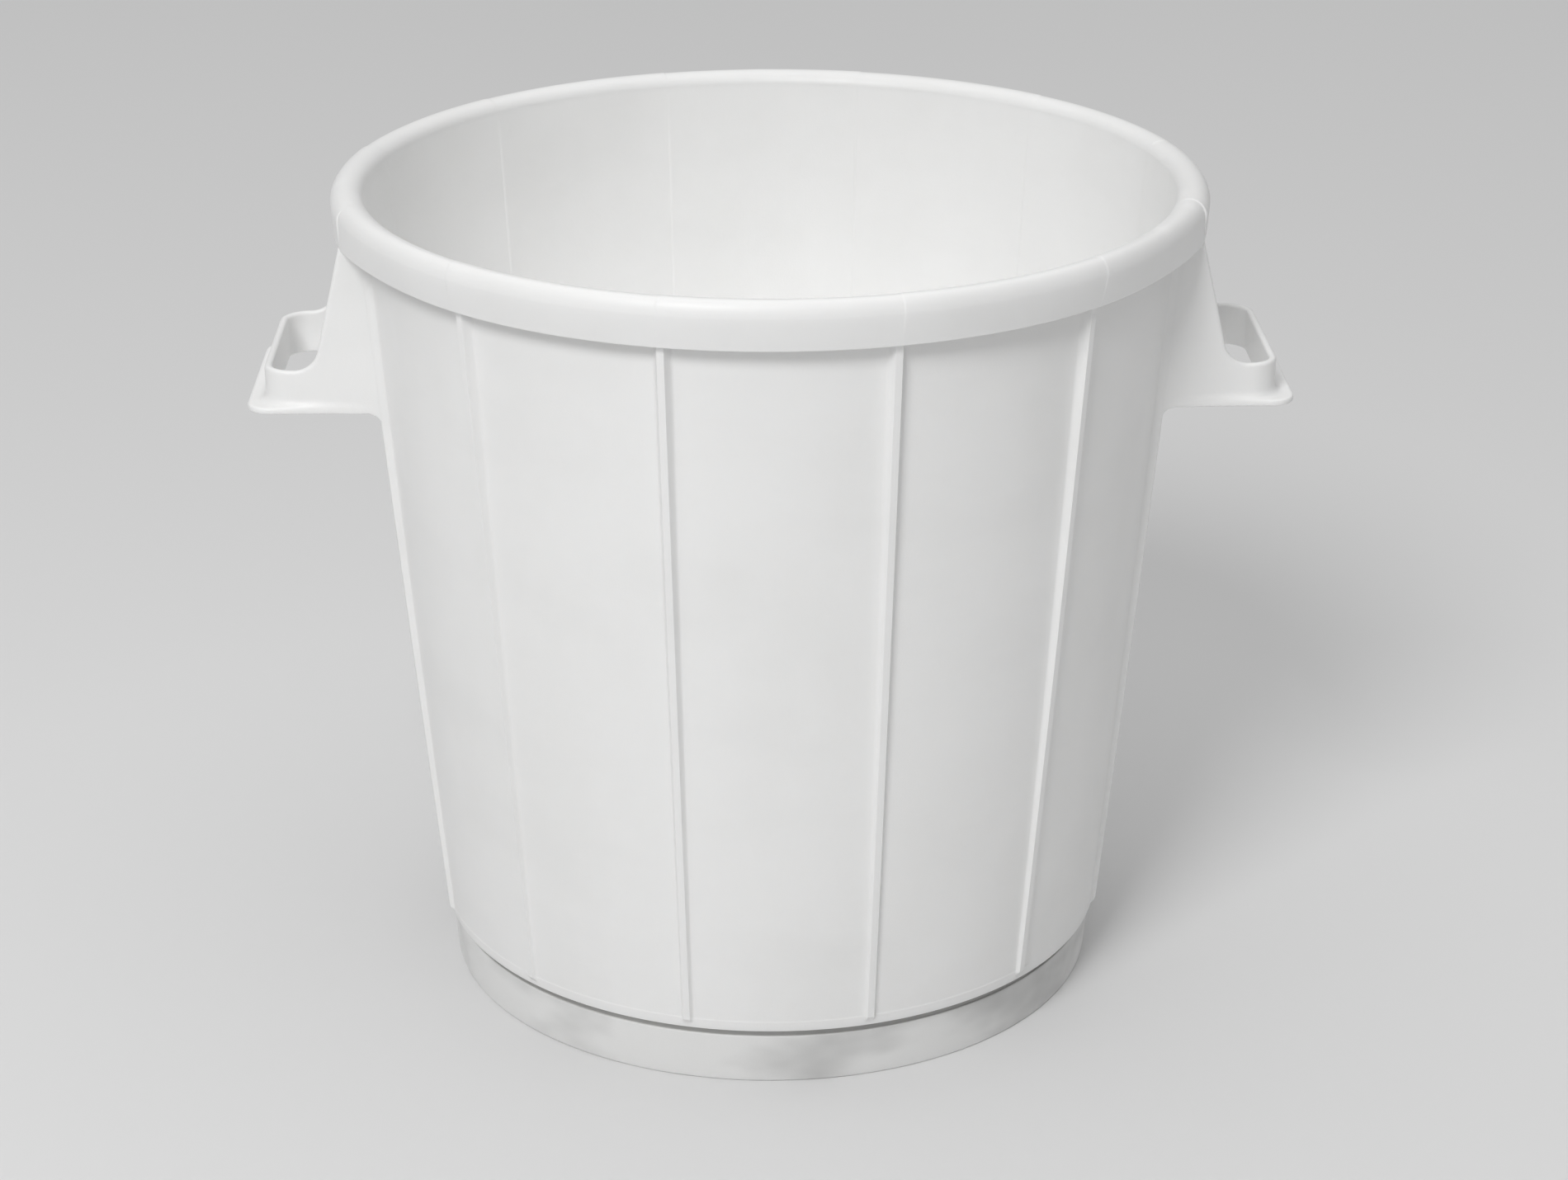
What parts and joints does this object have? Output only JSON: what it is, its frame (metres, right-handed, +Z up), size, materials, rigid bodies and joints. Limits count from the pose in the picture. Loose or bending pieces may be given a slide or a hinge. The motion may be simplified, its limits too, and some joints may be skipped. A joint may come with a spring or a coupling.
{
  "type": "handled round tub",
  "caption": "Open-topped tapered round plastic tub with vertical wall ribs, an overturned rim, a recessed foot ring and a box-shaped loop handle on each side.",
  "frame": {"origin": "centre of the foot ring's underside, on the ground", "axes": "+Z up through the tub's axis, X through the two handles, front faces -Y"},
  "size_m": [0.629, 0.52, 0.508],
  "materials": {
    "natural_polyethylene": "satin",
    "scuffed_polyethylene": "satin, scuffed and smudged"
  },
  "bodies": {
    "root": {"wall_shell": "natural_polyethylene", "floor_plate": "natural_polyethylene", "foot_ring": "scuffed_polyethylene", "rim_collar": "natural_polyethylene", "handle_left": "natural_polyethylene", "handle_right": "natural_polyethylene"}
  },
  "joints": []
}
